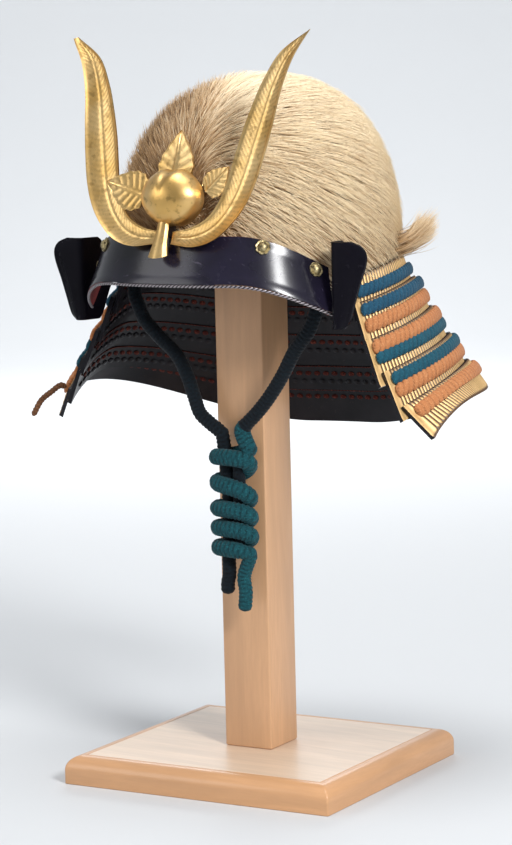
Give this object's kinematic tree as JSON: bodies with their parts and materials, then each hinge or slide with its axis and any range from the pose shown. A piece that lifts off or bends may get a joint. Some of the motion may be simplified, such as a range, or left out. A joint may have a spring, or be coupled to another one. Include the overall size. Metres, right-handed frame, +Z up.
{
  "type": "kabuto samurai helmet on a wooden post stand",
  "caption": "Haired samurai helmet with gilt horned crest, lacquered brow, flared laced neck guard and knotted chin cord, on a square wooden post stand.",
  "frame": {"origin": "centre of the stand base's underside", "axes": "+Z up, the helmet faces -Y, +X to the left hand of the wearer"},
  "size_m": [0.4144, 0.3568, 0.665],
  "materials": {
    "maple_wood": "satin varnished straight-grained wood, warmer on the rounded edge",
    "iron": "dark russet, matt",
    "hair": "combed animal hair, cream-blond with brown roots",
    "black_lacquer": "glossy black lacquer with a blue-violet sheen, fine scratches",
    "silver_rope": "twisted silver and dark rope edging, worn",
    "brass": "dull aged brass",
    "gold_lacquer": "gold lacquer over ribbed leather scales outside, black lacquer inside",
    "gilt_copper": "worn gilding, engraved veins, darker at the tips",
    "blue_braid": "thick silk braid",
    "orange_braid": "thick silk braid, faded",
    "teal_braid": "thick silk braid",
    "brown_braid": "thin braid, dark with orange strands",
    "dark_cord": "soft padded cord, near black with teal flecks",
    "teal_cord": "soft padded cord, teal with dark flecks"
  },
  "bodies": {
    "root": {"stand_base": "maple_wood", "stand_post": "maple_wood", "bowl_shell": "iron", "hair_cover": "hair", "hair_tuft": "hair", "brow_plate": "black_lacquer", "brow_rope_trim": "silver_rope", "turn_back_left": "black_lacquer", "turn_back_right": "black_lacquer", "lace_blue_1": "blue_braid", "lace_blue_2": "blue_braid", "lace_orange_1": "orange_braid", "lace_orange_2": "orange_braid", "lace_teal_1": "teal_braid", "lace_teal_2": "teal_braid", "lace_orange_3": "orange_braid", "lace_orange_4": "orange_braid", "lace_end_left": "brown_braid", "crest_horn_left": "gilt_copper", "crest_horn_right": "gilt_copper", "crest_fruit": "gilt_copper", "crest_leaf_centre": "gilt_copper", "crest_leaf_left": "gilt_copper", "crest_leaf_right": "gilt_copper", "crest_holder": "iron", "chin_ring_left": "iron", "chin_ring_right": "iron", "chin_cord_left": "dark_cord", "chin_cord_right": "dark_cord", "chin_cord_knot": "teal_cord", "chin_cord_end_dark": "dark_cord", "chin_cord_end_teal": "teal_cord", "brow_rivet_1": "brass", "brow_rivet_2": "brass", "brow_rivet_3": "brass", "brow_rivet_4": "brass", "neck_lame_1": "gold_lacquer", "neck_lame_2": "gold_lacquer", "neck_lame_3": "gold_lacquer", "neck_lame_4": "gold_lacquer", "neck_lame_5": "gold_lacquer"}
  },
  "joints": []
}
